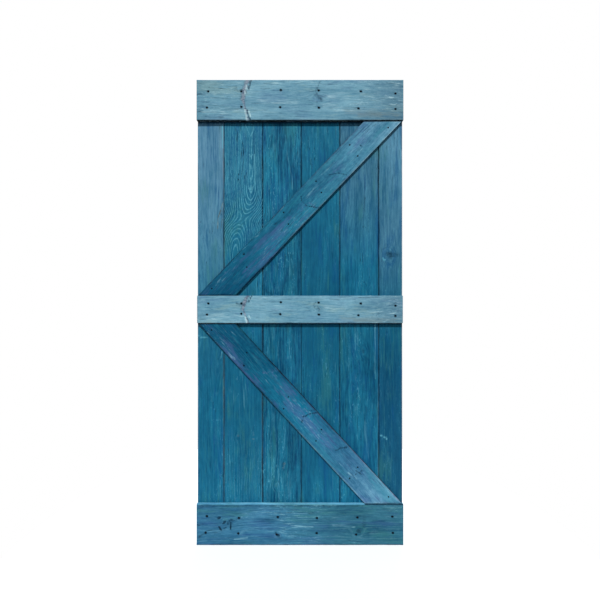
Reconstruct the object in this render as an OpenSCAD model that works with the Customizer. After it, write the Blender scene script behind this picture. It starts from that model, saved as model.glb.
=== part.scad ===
// Sliding barn door leaf: upright tongue-and-groove boards nailed to three rails and two
// diagonal braces. Millimetres. X runs along the width, the front faces -Y and Z is up.
// The origin is the middle of the bottom edge, half way through the thickness.

/* [Door] */
// Overall width of the door
door_w = 949; // [790:1:1140]
// Overall height of the door
door_h = 2133.6; // [1780:0.1:2560]

/* [Boards] */
// Thickness of the upright boards
board_t = 16; // [13:0.1:20]
// Width of the board at the left edge, ripped to suit the door
left_board_w = 122; // [90:1:150]
// Width of the board at the right edge, ripped to suit the door
right_board_w = 110; // [90:1:150]
// Open gap between the faces of two neighbouring boards
board_gap = 1; // [0.4:0.1:2]
// Bevel along the front edges of each board
board_bevel = 2; // [0.5:0.1:3]
// Bevel along the back edges of each board
back_bevel = 1; // [0.5:0.1:2]
// Thickness of the tongue
tongue_t = 5; // [4:0.1:6.5]
// How far the tongue reaches into the groove
tongue_reach = 6; // [4:0.1:9]
// Clearance on each face of the tongue
tongue_play = 0.25; // [0.1:0.05:0.5]
// Space left in the groove past the tip of the tongue
groove_relief = 1; // [0.5:0.1:2]

/* [Rails] */
// Thickness of the rails
rail_t = 19; // [14:0.1:25]
// Height of the top rail
top_rail_w = 184; // [150:1:225]
// Height of the middle rail
mid_rail_w = 126; // [100:1:155]
// Height of the bottom rail
bottom_rail_w = 186; // [150:1:225]
// Height of the middle rail's underside above the bottom edge of the door
mid_rail_z = 1018; // [800:1:1250]
// How far each end of the middle rail stops short of the door's side
mid_rail_inset = 2.5; // [0:0.1:8]
// Bevel along the long front edges of each rail
rail_bevel = 2; // [0.5:0.1:4]
// Bevel across the front edge of each rail's ends
rail_end_bevel = 1.5; // [0.4:0.1:3]

/* [Braces] */
// Thickness of the braces, whose faces lie a little behind the rails' faces
brace_t = 13; // [10:0.1:18]
// Width of each brace, across its grain
brace_w = 127; // [100:1:155]
// Gap between a brace's end and the rail that it meets
brace_gap = 1.2; // [0.3:0.1:3]
// Distance from a brace's pointed tip to the door's side
brace_inset = 4; // [0:0.1:10]
// Bevel along the long front edges of each brace
brace_bevel = 3; // [0.5:0.1:5]
// Bevel across the front edge of each brace's ends
brace_end_bevel = 2; // [0.4:0.1:4]

/* [Nails] */
// Diameter of the shank
nail_d = 2.8; // [2:0.1:4]
// Diameter of the head
nail_head_d = 6; // [4.5:0.1:8]
// Thickness of the head
nail_head_t = 1.2; // [0.8:0.1:2]
// Depth of the head below the wood's face
nail_set = 0.5; // [0:0.1:1.5]
// Length of the pointed tip
nail_point = 4; // [2:0.1:6]
// Clearance between nail and wood, on the radius
nail_fit = 0.05; // [0.02:0.01:0.1]
// Wood left between a nail's tip and the back of the door
nail_cover = 4; // [2:0.1:8]
// Distance from a wide rail's long edges to its rows of nails
wide_row_in = 54; // [35:1:65]
// Distance from the middle rail's long edges to its rows of nails
mid_row_in = 37; // [25:1:45]
// Distance from a brace's end to the single nail near its tip
tip_nail_in = 31; // [25:1:45]
// Distance from a brace's middle line to the single nails near its tips
tip_nail_off = 38; // [25:1:42]

/* [Hidden] */
$fn = 48;
over = 1; // how far a cutting shape runs past what it cuts

inner_boards = 4;
last_board = inner_boards + 1;
inner_w = (door_w - left_board_w - right_board_w) / inner_boards;

seam_y = (rail_t - board_t) / 2; // rails and braces lie on the boards here
back_y = seam_y + board_t;

top_rail_z = door_h - top_rail_w;
function nail_len(wood_t) = wood_t + board_t - nail_set - nail_cover;

// Each nail's drift from the middle of its board and from its row, as hand nailing leaves it:
// [along X, along Z], one for each board from the left
pale_rail_high_row = [[-7, 1], [-6, 1], [-4, 7], [-10, 5], [4, 1], [18, -9]];
pale_rail_low_row = [[-13, 2], [-6, 6], [-7, 4], [-9, 2], [-7, -1], [18, -4]];
bottom_rail_high_row = [[-13, 1], [-17, -7], [-18, -3], [-18, -8], [-12, -5], [4, -1]];
bottom_rail_low_row = [[-19, 3], [-20, 0], [-23, -5], [-19, 1], [-18, -5], [6, 2]];

// Nails through a brace, besides the two near its tips: [board, along X from that board's
// middle, across the brace from its middle line]
brace_pairs = [
    [1, 5, 40], [1, 18, -10], [2, 8, 41], [2, 30, -12],
    [3, -22, 32], [3, 3, -22], [4, -46, 35], [4, -9, -27]
];

// ---- places ----

// Left side of a board, as the middle of its joint, and the door's own side for the first one
function board_x(i) = -door_w / 2 + (i == 0 ? 0 : left_board_w + (i - 1) * inner_w);
function board_end_x(i) = i == last_board ? door_w / 2 : board_x(i + 1);
function board_mid(i) = (board_x(i) + board_end_x(i)) / 2;

function row(z, drift) = [for (i = [0 : last_board]) [board_mid(i) + drift[i][0], z + drift[i][1]]];

// Nails of a rail or brace, each as [x, z, thickness of that rail or brace]
function through(wood_t, points) = [for (p = points) [p[0], p[1], wood_t]];
function rail_nails(z, w, row_in, high, low) =
    through(rail_t, concat(row(z + w - row_in, high), row(z + row_in, low)));

// A brace's box: [low z, high z, slope], where slope is 1 rising to the right and -1 falling
upper_box = [mid_rail_z + mid_rail_w + brace_gap, top_rail_z - brace_gap, 1];
lower_box = [bottom_rail_w + brace_gap, mid_rail_z - brace_gap, -1];
brace_span = door_w - 2 * brace_inset;

// Angle above the horizon at which a brace of this width touches both sides of its box
function brace_angle(box) =
    let (rise = box[1] - box[0], diagonal = norm([brace_span, rise]))
    atan2(rise, brace_span) + asin(brace_w / diagonal);

// Point on a brace at x and at a distance across it from its middle line. Both braces are
// worked out as if they rose to the right, and the falling one is turned over in its box.
function in_box(box, p) = [p[0], box[2] > 0 ? p[1] : box[0] + box[1] - p[1]];
function brace_mid_z(box, x) = (box[0] + box[1]) / 2 + x * tan(brace_angle(box));
function brace_point(box, x, off) =
    in_box(box, [x, brace_mid_z(box, x) + off / cos(brace_angle(box))]);
function tip_nail(box, side) =
    let (
        z = side > 0 ? box[1] - tip_nail_in : box[0] + tip_nail_in,
        slant_z = z + side * tip_nail_off / cos(brace_angle(box))
    )
    in_box(box, [(slant_z - brace_mid_z(box, 0)) / tan(brace_angle(box)), z]);
function brace_nails(box) = through(brace_t, concat(
    [for (n = brace_pairs) brace_point(box, board_mid(n[0]) + n[1], n[2])],
    [tip_nail(box, -1), tip_nail(box, 1)]
));

function rect(x, z, w, h) = [[x, z], [x + w, z], [x + w, z + h], [x, z + h]];
function brace_outline(box) =
    let (run = brace_w / sin(brace_angle(box)), side = brace_span / 2)
    box[2] > 0
        ? [[-side, box[0]], [run - side, box[0]], [side, box[1]], [side - run, box[1]]]
        : [[side - run, box[0]], [side, box[0]], [run - side, box[1]], [-side, box[1]]];

top_nails = rail_nails(top_rail_z, top_rail_w, wide_row_in, pale_rail_high_row, pale_rail_low_row);
mid_nails = rail_nails(mid_rail_z, mid_rail_w, mid_row_in, pale_rail_high_row, pale_rail_low_row);
bottom_nails = rail_nails(0, bottom_rail_w, wide_row_in, bottom_rail_high_row, bottom_rail_low_row);
upper_nails = brace_nails(upper_box);
lower_nails = brace_nails(lower_box);
all_nails = concat(top_nails, mid_nails, bottom_nails, upper_nails, lower_nails);

rail_bevels = [rail_bevel, rail_end_bevel];
brace_bevels = [brace_end_bevel, brace_bevel];

// ---- shapes ----

// Stands a shape drawn along +Z where a nail goes in, pointing into the wood
module into_wood(p) {
    translate([p[0], seam_y - p[2], p[1]]) rotate([-90, 0, 0]) children();
}

// The space that a nail takes: its set head, and a pilot hole a little longer than its shank
module nail_hole(p) {
    into_wood(p) {
        translate([0, 0, -over])
            cylinder(r = nail_head_d / 2 + nail_fit, h = over + nail_set + nail_head_t);
        cylinder(r = nail_d / 2 + nail_fit, h = nail_set + nail_len(p[2]) + nail_fit);
    }
}

module nail(p) {
    into_wood(p) translate([0, 0, nail_set]) {
        cylinder(d = nail_head_d, h = nail_head_t);
        cylinder(d = nail_d, h = nail_len(p[2]) - nail_point);
        translate([0, 0, nail_len(p[2]) - nail_point])
            cylinder(d1 = nail_d, d2 = 0, h = nail_point);
    }
}

module nails(points) {
    color([0.06, 0.07, 0.09])
        for (p = points)
            nail(p);
}

// Square bar along an edge of a front face, which takes the edge off as a bevel. The outline
// runs anticlockwise, so after the turn +X points out of the piece and -Y out of its face.
module edge_cut(a, b, wood_t, bevel) {
    bar = 4 * bevel;
    translate([a[0], seam_y - wood_t, a[1]])
        rotate([0, atan2(b[0] - a[0], b[1] - a[1]), 0])
            rotate([0, 0, -45])
                translate([-bevel / sqrt(2), -bar / 2, -brace_w])
                    cube([bar, bar, norm(b - a) + 2 * brace_w]);
}

// A flat piece on the front of the boards, with its outline in X and Z. The two bevels take
// turns around the outline, and the first one belongs to its bottom edge.
module plank(outline, wood_t, bevels, nail_points) {
    difference() {
        translate([0, seam_y, 0])
            rotate([90, 0, 0])
                linear_extrude(height = wood_t)
                    polygon(outline);
        for (i = [0 : 3])
            edge_cut(outline[i], outline[(i + 1) % 4], wood_t, bevels[i % 2]);
        for (p = nail_points)
            nail_hole(p);
    }
}

// Cross-section of a board, in X and Y: bevelled corners, a groove on the left unless it is
// the first board, and a tongue on the right unless it is the last
module board_section(i) {
    left = board_x(i) + (i == 0 ? 0 : board_gap / 2);
    right = board_end_x(i) - (i == last_board ? 0 : board_gap / 2);
    mid_y = (seam_y + back_y) / 2;
    groove_h = tongue_t + 2 * tongue_play;
    difference() {
        union() {
            polygon([
                [left + board_bevel, seam_y], [right - board_bevel, seam_y],
                [right, seam_y + board_bevel], [right, back_y - back_bevel],
                [right - back_bevel, back_y], [left + back_bevel, back_y],
                [left, back_y - back_bevel], [left, seam_y + board_bevel]
            ]);
            if (i < last_board)
                translate([right - over, mid_y - tongue_t / 2])
                    square([over + board_gap + tongue_reach, tongue_t]);
        }
        if (i > 0)
            translate([left - over, mid_y - groove_h / 2])
                square([over + tongue_reach + groove_relief, groove_h]);
    }
}

module board(i) {
    reach = nail_head_d + board_gap + tongue_reach;
    tones = [[0.27, 0.49, 0.60], [0.18, 0.46, 0.58], [0.11, 0.39, 0.51]];
    color(i == 0 ? tones[0] : i % 2 == 1 ? tones[1] : tones[2])
        difference() {
            linear_extrude(height = door_h) board_section(i);
            for (p = all_nails)
                if (p[0] > board_x(i) - reach && p[0] < board_end_x(i) + reach)
                    nail_hole(p);
        }
}

module top_rail() {
    color([0.42, 0.59, 0.67])
        plank(rect(-door_w / 2, top_rail_z, door_w, top_rail_w), rail_t, rail_bevels, top_nails);
}

module mid_rail() {
    length = door_w - 2 * mid_rail_inset;
    color([0.42, 0.59, 0.67])
        plank(rect(-length / 2, mid_rail_z, length, mid_rail_w), rail_t, rail_bevels, mid_nails);
}

module bottom_rail() {
    color([0.22, 0.44, 0.55])
        plank(rect(-door_w / 2, 0, door_w, bottom_rail_w), rail_t, rail_bevels, bottom_nails);
}

module upper_brace() {
    color([0.17, 0.42, 0.55])
        plank(brace_outline(upper_box), brace_t, brace_bevels, upper_nails);
}

module lower_brace() {
    color([0.17, 0.42, 0.55])
        plank(brace_outline(lower_box), brace_t, brace_bevels, lower_nails);
}

board(0);  // board_1
board(1);  // board_2
board(2);  // board_3
board(3);  // board_4
board(4);  // board_5
board(5);  // board_6
top_rail();
mid_rail();
bottom_rail();
upper_brace();
lower_brace();
nails(top_nails);  // top_rail_nails
nails(mid_nails);  // mid_rail_nails
nails(bottom_nails);  // bottom_rail_nails
nails(upper_nails);  // upper_brace_nails
nails(lower_nails);  // lower_brace_nails
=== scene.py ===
# Looks of the sliding barn door leaf: every board, rail and brace is modelled again as sawn, brushed and
# stained pine around the CAD frame, and the CAD nails get a blackened finish. Metres, Z up, front to -Y.
import bmesh
import bpy
import math
import numpy as np
import random
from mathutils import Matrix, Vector


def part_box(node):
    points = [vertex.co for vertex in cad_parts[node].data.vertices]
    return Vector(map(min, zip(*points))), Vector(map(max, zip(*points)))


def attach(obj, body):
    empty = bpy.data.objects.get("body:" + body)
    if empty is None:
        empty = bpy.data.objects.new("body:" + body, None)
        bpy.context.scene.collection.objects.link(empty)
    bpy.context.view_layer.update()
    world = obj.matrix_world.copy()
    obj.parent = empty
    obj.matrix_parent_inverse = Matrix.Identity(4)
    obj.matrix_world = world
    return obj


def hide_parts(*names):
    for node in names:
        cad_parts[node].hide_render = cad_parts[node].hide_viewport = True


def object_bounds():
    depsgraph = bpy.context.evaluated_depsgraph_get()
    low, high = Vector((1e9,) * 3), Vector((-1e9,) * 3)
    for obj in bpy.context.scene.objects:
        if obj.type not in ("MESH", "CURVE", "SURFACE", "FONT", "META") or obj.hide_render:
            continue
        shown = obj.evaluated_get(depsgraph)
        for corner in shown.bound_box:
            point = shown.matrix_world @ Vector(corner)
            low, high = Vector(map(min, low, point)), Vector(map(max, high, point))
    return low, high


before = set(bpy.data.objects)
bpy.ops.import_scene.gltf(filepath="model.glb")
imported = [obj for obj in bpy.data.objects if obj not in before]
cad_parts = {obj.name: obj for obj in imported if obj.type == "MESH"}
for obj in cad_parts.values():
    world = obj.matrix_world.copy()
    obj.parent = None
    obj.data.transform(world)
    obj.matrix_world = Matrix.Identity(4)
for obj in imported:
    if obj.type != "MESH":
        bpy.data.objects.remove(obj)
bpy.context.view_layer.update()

from types import SimpleNamespace

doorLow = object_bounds()[0]
print("frame loaded:", len(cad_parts), "CAD nodes")


# studio

studio = {
    "cameraDistance": 1.65,      # from the front of the rails
    "cameraHeight": 1.124,
    "lens": 21.6,
    "sensor": 36,
    "floorGap": 0.0004,          # the floor lies this far under the door
    "floorRadius": 1.3,
    "floorSides": 96,
    "floorColour": (0.86, 0.86, 0.86, 1),
    "floorGlow": 0.16,
    "skyLight": 0.25,
    "skyColour": (0.93, 0.98, 1.06, 1),
    "keyPower": 3.3,
    "keyAngle": 4,               # softness of a lamp's shadows, in degrees
    "keyTravel": (0.1, 1.0, -1.15),
    "fillPower": 1.8,            # for the back of the door
    "fillAngle": 20,
    "fillTravel": (-0.2, -1.0, -0.6),
}


def addSun(name, travel, power, angle):
    lamp = bpy.data.lights.new(name, "SUN")
    lamp.energy = power
    lamp.angle = math.radians(angle)
    holder = bpy.data.objects.new(name, lamp)
    holder.rotation_euler = Vector(travel).to_track_quat("-Z", "Y").to_euler()
    bpy.context.scene.collection.objects.link(holder)


def setUpStudio():
    scene = bpy.context.scene
    scene.view_settings.view_transform = "Standard"
    camera = bpy.data.cameras.new("camera")
    camera.sensor_width = studio["sensor"]
    camera.lens = studio["lens"]
    holder = bpy.data.objects.new("camera", camera)
    holder.location = (0, doorLow.y - studio["cameraDistance"], studio["cameraHeight"])
    holder.rotation_euler = (math.radians(90), 0, 0)
    scene.collection.objects.link(holder)
    scene.camera = holder

    # white seen by the camera, a softer sky for the light
    world = bpy.data.worlds.new("studioSky")
    world.use_nodes = True
    scene.world = world
    tree = world.node_tree
    sky = tree.nodes["Background"]
    sky.inputs["Color"].default_value = studio["skyColour"]
    sky.inputs["Strength"].default_value = studio["skyLight"]
    paper = tree.nodes.new("ShaderNodeBackground")
    paper.inputs["Color"].default_value = (1, 1, 1, 1)
    rays = tree.nodes.new("ShaderNodeLightPath")
    either = tree.nodes.new("ShaderNodeMixShader")
    tree.links.new(rays.outputs["Is Camera Ray"], either.inputs[0])
    tree.links.new(sky.outputs[0], either.inputs[1])
    tree.links.new(paper.outputs[0], either.inputs[2])
    tree.links.new(either.outputs[0], tree.nodes["World Output"].inputs["Surface"])

    addSun("keyLight", studio["keyTravel"], studio["keyPower"], studio["keyAngle"])
    addSun("backFill", studio["fillTravel"], studio["fillPower"], studio["fillAngle"])

    bpy.ops.object.select_all(action="DESELECT")
    under = (0, 0, doorLow.z - studio["floorGap"])
    bpy.ops.mesh.primitive_circle_add(
        vertices=studio["floorSides"], radius=studio["floorRadius"], fill_type="NGON", location=under)
    floor = bpy.context.object
    floor.name = "floor"
    paint = bpy.data.materials.new("floorPaint")
    paint.use_nodes = True
    shader = paint.node_tree.nodes["Principled BSDF"]
    shader.inputs["Base Color"].default_value = studio["floorColour"]
    shader.inputs["Roughness"].default_value = 1
    shader.inputs["Emission Color"].default_value = (1, 1, 1, 1)
    shader.inputs["Emission Strength"].default_value = studio["floorGlow"]
    floor.data.materials.append(paint)


setUpStudio()
print("studio set up")


# picking and cutting

tiny = 1e-5                      # places nearer than this are the same
cutSlack = 1e-6                  # how near a cut a point counts as on it


def pickPoints(piece, test):
    bpy.ops.mesh.select_mode(type="VERT")
    bpy.ops.mesh.select_all(action="DESELECT")
    shape = bmesh.from_edit_mesh(piece.data)
    for point in shape.verts:
        point.select = test(point.co)
    shape.select_flush_mode()
    bmesh.update_edit_mesh(piece.data)


def pickEdges(piece, test):
    bpy.ops.mesh.select_mode(type="EDGE")
    bpy.ops.mesh.select_all(action="DESELECT")
    shape = bmesh.from_edit_mesh(piece.data)
    for edge in shape.edges:
        edge.select = test(edge.verts[0].co, edge.verts[1].co)
    bmesh.update_edit_mesh(piece.data)


def pickFaces(piece, test):
    bpy.ops.mesh.select_mode(type="FACE")
    bpy.ops.mesh.select_all(action="DESELECT")
    shape = bmesh.from_edit_mesh(piece.data)
    for face in shape.faces:
        face.select = test(face.calc_center_median())
    bmesh.update_edit_mesh(piece.data)


def sawOff(point, outward):
    # one straight cut through the piece in edit mode, which drops its outer side
    bpy.ops.mesh.select_all(action="SELECT")
    bpy.ops.mesh.bisect(
        plane_co=point, plane_no=outward, use_fill=True, clear_outer=True, threshold=cutSlack)


def scribe(point, across):
    # a line cut into the piece's faces, which keeps both sides
    bpy.ops.mesh.select_all(action="SELECT")
    bpy.ops.mesh.bisect(plane_co=point, plane_no=across, threshold=cutSlack)


# blanks

def sectionPlate(name, columns, rows):
    # a flat plate with lines scribed at these X and Y places, left in edit mode
    bpy.ops.object.select_all(action="DESELECT")
    bpy.ops.mesh.primitive_plane_add(
        size=1, location=((columns[0] + columns[-1]) / 2, (rows[0] + rows[-1]) / 2, 0))
    piece = bpy.context.object
    piece.name = piece.data.name = name
    piece.scale = (columns[-1] - columns[0], rows[-1] - rows[0], 1)
    bpy.ops.object.transform_apply(location=True, rotation=True, scale=True)
    bpy.ops.object.mode_set(mode="EDIT")
    for place in columns[1:-1]:
        scribe((place, 0, 0), (1, 0, 0))
    for place in rows[1:-1]:
        scribe((0, place, 0), (0, 1, 0))
    return piece


def onLine(depth):
    return lambda a, b: abs(a.y - depth) < tiny and abs(b.y - depth) < tiny


mostCuts = 100                   # one subdivide makes no more than this
bevelSteps = 2


def cutInto(piece, count, test):
    # cuts the edges that test picks into about this many cells, in two goes where one isn't enough
    rough = math.ceil(count / mostCuts)
    if rough > 1:
        pickEdges(piece, test)
        bpy.ops.mesh.subdivide(number_cuts=rough - 1)
    pickEdges(piece, test)
    bpy.ops.mesh.subdivide(number_cuts=round(count / rough) - 1)


def drawOut(piece, front, back, bevels, cell, length):
    # takes the scribed lines off the section, rounds its outer corners, cuts its long sides into cells and
    # draws it out upwards
    bpy.ops.mesh.select_all(action="SELECT")
    bpy.ops.mesh.dissolve_limited(angle_limit=math.radians(1))
    for depth, bevel in ((front, bevels[0]), (back, bevels[1])):
        pickPoints(piece, lambda spot: abs(spot.y - depth) < tiny)
        bpy.ops.mesh.bevel(offset=bevel, segments=bevelSteps, affect="VERTICES")
    for depth in (front, back):
        pickEdges(piece, onLine(depth))
        edges = [edge for edge in bmesh.from_edit_mesh(piece.data).edges if edge.select]
        cutInto(piece, edges[0].calc_length() / cell[0], onLine(depth))
    bpy.ops.mesh.select_all(action="SELECT")
    bpy.ops.mesh.extrude_region_move(TRANSFORM_OT_translate={"value": (0, 0, length)})
    cutInto(piece, length / cell[1], lambda a, b: abs(a.z - b.z) > tiny)
    bpy.ops.mesh.select_all(action="SELECT")
    bpy.ops.mesh.normals_make_consistent(inside=False)


def bevelEnds(piece, ends, axis, faces, bevel):
    # takes the corner off each end along X or Z, at the front and, where it is given, the back face
    for end, way in ends:
        for face, out in faces:
            point = Vector((0, face, 0)) + axis * (end - way * bevel)
            sawOff(point, axis * way + Vector((0, out, 0)))


# boards

boards = {
    "cell": (0.0026, 0.008),     # across and along the grain
    "bevels": (0.002, 0.001),    # front and back
    "endBevel": 0.0008,
    "gap": 0.001,
    "tongueThick": 0.005,
    "tonguePlay": 0.00025,
    "grooveDeep": 0.007,
}
boardCount = 6
alongX, alongZ = Vector((1, 0, 0)), Vector((0, 0, 1))


def uprightBoard(number):
    # grooved on its left unless it is the first, and tongued on its right unless it is the last
    node = "board_%d" % number
    low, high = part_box(node)
    first, last = number == 1, number == boardCount
    side = high.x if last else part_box("board_%d" % (number + 1))[0].x - boards["gap"]
    tip = side + boards["grooveDeep"] if last else high.x
    half = boards["tongueThick"] / 2
    slot = half + boards["tonguePlay"]
    middle = (low.y + high.y) / 2
    grooveEnd = low.x + boards["grooveDeep"]
    columns = [low.x, grooveEnd, side, tip]
    piece = sectionPlate(node + "Wood", columns, [low.y, middle - slot, middle + slot, high.y])
    pickPoints(piece, lambda spot: spot.x > side - tiny and abs(spot.y - middle) < slot + tiny)
    bpy.ops.transform.resize(value=(1, half / slot, 1), center_override=(0, middle, 0))
    pickFaces(piece, lambda spot: spot.x > side and (last or abs(spot.y - middle) > half))
    bpy.ops.mesh.delete(type="FACE")
    if not first:
        pickFaces(piece, lambda spot: spot.x < grooveEnd and abs(spot.y - middle) < half)
        bpy.ops.mesh.delete(type="FACE")
    drawOut(piece, low.y, high.y, boards["bevels"], boards["cell"], high.z - low.z)
    bevelEnds(piece, ((low.z, -1), (high.z, 1)), alongZ, ((low.y, -1), (high.y, 1)), boards["endBevel"])
    bpy.ops.object.mode_set(mode="OBJECT")
    return {"piece": piece, "turn": 0, "foot": ((low.x + side) / 2, low.z), "half": (side - low.x) / 2}


# rails and braces

planks = {
    "cell": (0.0026, 0.006),
    "railBevels": (0.0014, 0.0005),
    "railEndBevel": 0.0015,
    "braceBevels": (0.003, 0.0005),
    "braceEndBevel": 0.002,
    "braceWidth": 0.127,
}


def turnInto(piece, turn, place):
    # turns a standing blank about Y and moves its foot to its place on the door
    bpy.ops.object.mode_set(mode="OBJECT")
    piece.rotation_euler = (0, turn, 0)
    piece.location = place
    bpy.ops.object.transform_apply(location=True, rotation=True, scale=True)
    bpy.ops.object.mode_set(mode="EDIT")


def railPlank(name, node):
    low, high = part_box(node)
    half = (high.z - low.z) / 2
    piece = sectionPlate(name, [-half, half], [low.y, high.y])
    drawOut(piece, low.y, high.y, planks["railBevels"], planks["cell"], high.x - low.x)
    turnInto(piece, math.pi / 2, (low.x, 0, low.z + half))
    bevelEnds(piece, ((low.x, -1), (high.x, 1)), alongX, ((low.y, -1),), planks["railEndBevel"])
    bpy.ops.object.mode_set(mode="OBJECT")
    return {"piece": piece, "turn": math.pi / 2, "foot": (low.x, low.z + half), "half": half}


def braceTurn(node, slope):
    # the turn from upright at which a brace of this width touches both sides of its box
    low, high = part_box(node)
    span, rise = high.x - low.x, high.z - low.z
    above = math.atan2(rise, span) + math.asin(planks["braceWidth"] / math.hypot(span, rise))
    return math.pi / 2 - slope * above


def bracePlank(name, node, slope):
    low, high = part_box(node)
    half = planks["braceWidth"] / 2
    length = (high - low).length + planks["braceWidth"]
    turn = braceTurn(node, slope)
    foot = (low + high) / 2 - Vector((math.sin(turn), 0, math.cos(turn))) * length / 2
    piece = sectionPlate(name, [-half, half], [low.y, high.y])
    drawOut(piece, low.y, high.y, planks["braceBevels"], planks["cell"], length)
    turnInto(piece, turn, (foot.x, 0, foot.z))
    ends = ((low.z, -1), (high.z, 1))
    for end, way in ends:
        sawOff((0, 0, end), (0, 0, way))
    bevelEnds(piece, ends, alongZ, ((low.y, -1),), planks["braceEndBevel"])
    bpy.ops.object.mode_set(mode="OBJECT")
    return {"piece": piece, "turn": turn, "foot": (foot.x, foot.z), "half": half}


# nail holes

nailHole = {
    "mouth": 0.0034,             # radii
    "head": 0.00305,
    "shank": 0.00145,
    "headDepth": 0.0018,         # depths below the front face
    "depth": 0.0311,
    "outside": 0.001,
    "sides": 24,
}
nailNodes = {
    "top_rail": "top_rail_nails", "mid_rail": "mid_rail_nails", "bottom_rail": "bottom_rail_nails",
    "upper_brace": "upper_brace_nails", "lower_brace": "lower_brace_nails",
}


def nailSpots(node):
    # the middle of each nail's head, as X and Z
    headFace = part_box(node)[0].y
    heads = []
    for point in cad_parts[node].data.vertices:
        if point.co.y < headFace + tiny:
            spot = (point.co.x, point.co.z)
            near = [head for head in heads if math.dist(head[0], spot) < 3 * nailHole["head"]]
            if near:
                near[0].append(spot)
            else:
                heads.append([spot])
    return [tuple((min(sides) + max(sides)) / 2 for sides in zip(*head)) for head in heads]


def holeCutter():
    # a stepped plug, drawn out of a disc: open mouth, seat of the head, shank
    bpy.ops.object.select_all(action="DESELECT")
    start = (0, 0, -nailHole["outside"])
    bpy.ops.mesh.primitive_circle_add(
        vertices=nailHole["sides"], radius=nailHole["mouth"], fill_type="NGON", location=start)
    cutter = bpy.context.object
    bpy.ops.object.transform_apply(location=True, rotation=True, scale=True)
    bpy.ops.object.mode_set(mode="EDIT")
    bpy.ops.mesh.select_all(action="SELECT")
    steps = (
        (nailHole["headDepth"] + nailHole["outside"], nailHole["head"] / nailHole["mouth"]),
        (0, nailHole["shank"] / nailHole["head"]),
        (nailHole["depth"] - nailHole["headDepth"], 1),
    )
    for rise, scale in steps:
        bpy.ops.mesh.extrude_region_move(TRANSFORM_OT_translate={"value": (0, 0, rise)})
        bpy.ops.transform.resize(value=(scale, scale, 1), center_override=(0, 0, 0))
    bpy.ops.mesh.select_all(action="SELECT")
    bpy.ops.mesh.normals_make_consistent(inside=False)
    bpy.ops.object.mode_set(mode="OBJECT")
    cutter.rotation_euler = (-math.pi / 2, 0, 0)
    bpy.ops.object.transform_apply(location=True, rotation=True, scale=True)
    return cutter


def drill(piece, face, spots):
    # nail holes that start at this front face
    plugs = []
    for x, z in spots:
        plug = bpy.data.objects.new("plug", plugShape.copy())
        plug.location = (x, face, z)
        bpy.context.scene.collection.objects.link(plug)
        plugs.append(plug)
    bpy.ops.object.select_all(action="DESELECT")
    for plug in plugs:
        plug.select_set(True)
    bpy.context.view_layer.objects.active = plugs[0]
    bpy.ops.object.join()
    bpy.context.view_layer.objects.active = piece
    hole = piece.modifiers.new("nailHoles", "BOOLEAN")
    hole.operation = "DIFFERENCE"
    hole.solver = "EXACT"
    hole.object = plugs[0]
    bpy.ops.object.modifier_apply(modifier=hole.name)
    bpy.data.objects.remove(plugs[0])


plugObject = holeCutter()
plugShape = plugObject.data
bpy.data.objects.remove(plugObject)
spots = {node: nailSpots(nailNodes[node]) for node in nailNodes}
everySpot = [spot for node in spots for spot in spots[node]]

wood = {}
for number in range(1, boardCount + 1):
    node = "board_%d" % number
    wood[node] = uprightBoard(number)
wood["top_rail"] = railPlank("topRailWood", "top_rail")
wood["mid_rail"] = railPlank("midRailWood", "mid_rail")
wood["bottom_rail"] = railPlank("bottomRailWood", "bottom_rail")
wood["upper_brace"] = bracePlank("upperBraceWood", "upper_brace", 1)
wood["lower_brace"] = bracePlank("lowerBraceWood", "lower_brace", -1)
print("planks sawn")

for node, made in wood.items():
    low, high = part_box(node)
    reach = nailHole["mouth"]
    if node in spots:
        drill(made["piece"], low.y, spots[node])
    else:
        over = [spot for spot in everySpot if low.x - reach < spot[0] < high.x + reach]
        drill(made["piece"], doorLow.y, over)
print("nail holes drilled")


# grain, stain and marks of each piece

# the stains that the whole door is painted from, and the darker and paler tints of its edges and marks, with
# painted shade and a painted highlight among them
stains = {
    "ink": "#0a4b6a", "deepTeal": "#0c5875", "teal": "#0e5d7b", "lagoon": "#116685", "shallows": "#1f6d8a",
    "mistBlue": "#34718c", "dusk": "#3c7c98", "haze": "#4a86a2", "duckEgg": "#6c9db1", "fog": "#588a9f",
    "mist": "#5c90ab", "pewter": "#507a8f", "steelBlue": "#306684", "slateTeal": "#275c71",
    "denim": "#33698a",
    "night": "#051c33", "navy": "#0b2c48", "plum": "#41465c", "mauve": "#6c7896", "moss": "#3d5f68",
    # the pale cyan on this line is a painted highlight on the bottom rail's top face; the near-black at its
    # end is painted shade under the rails and along the lower brace, and also the darkest stain round nails
    # and knots
    "ash": "#6b8c9c", "foam": "#86b6ca", "topFaceHighlight": "#60a6c6", "blackStainAndShade": "#00050c",
}
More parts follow.
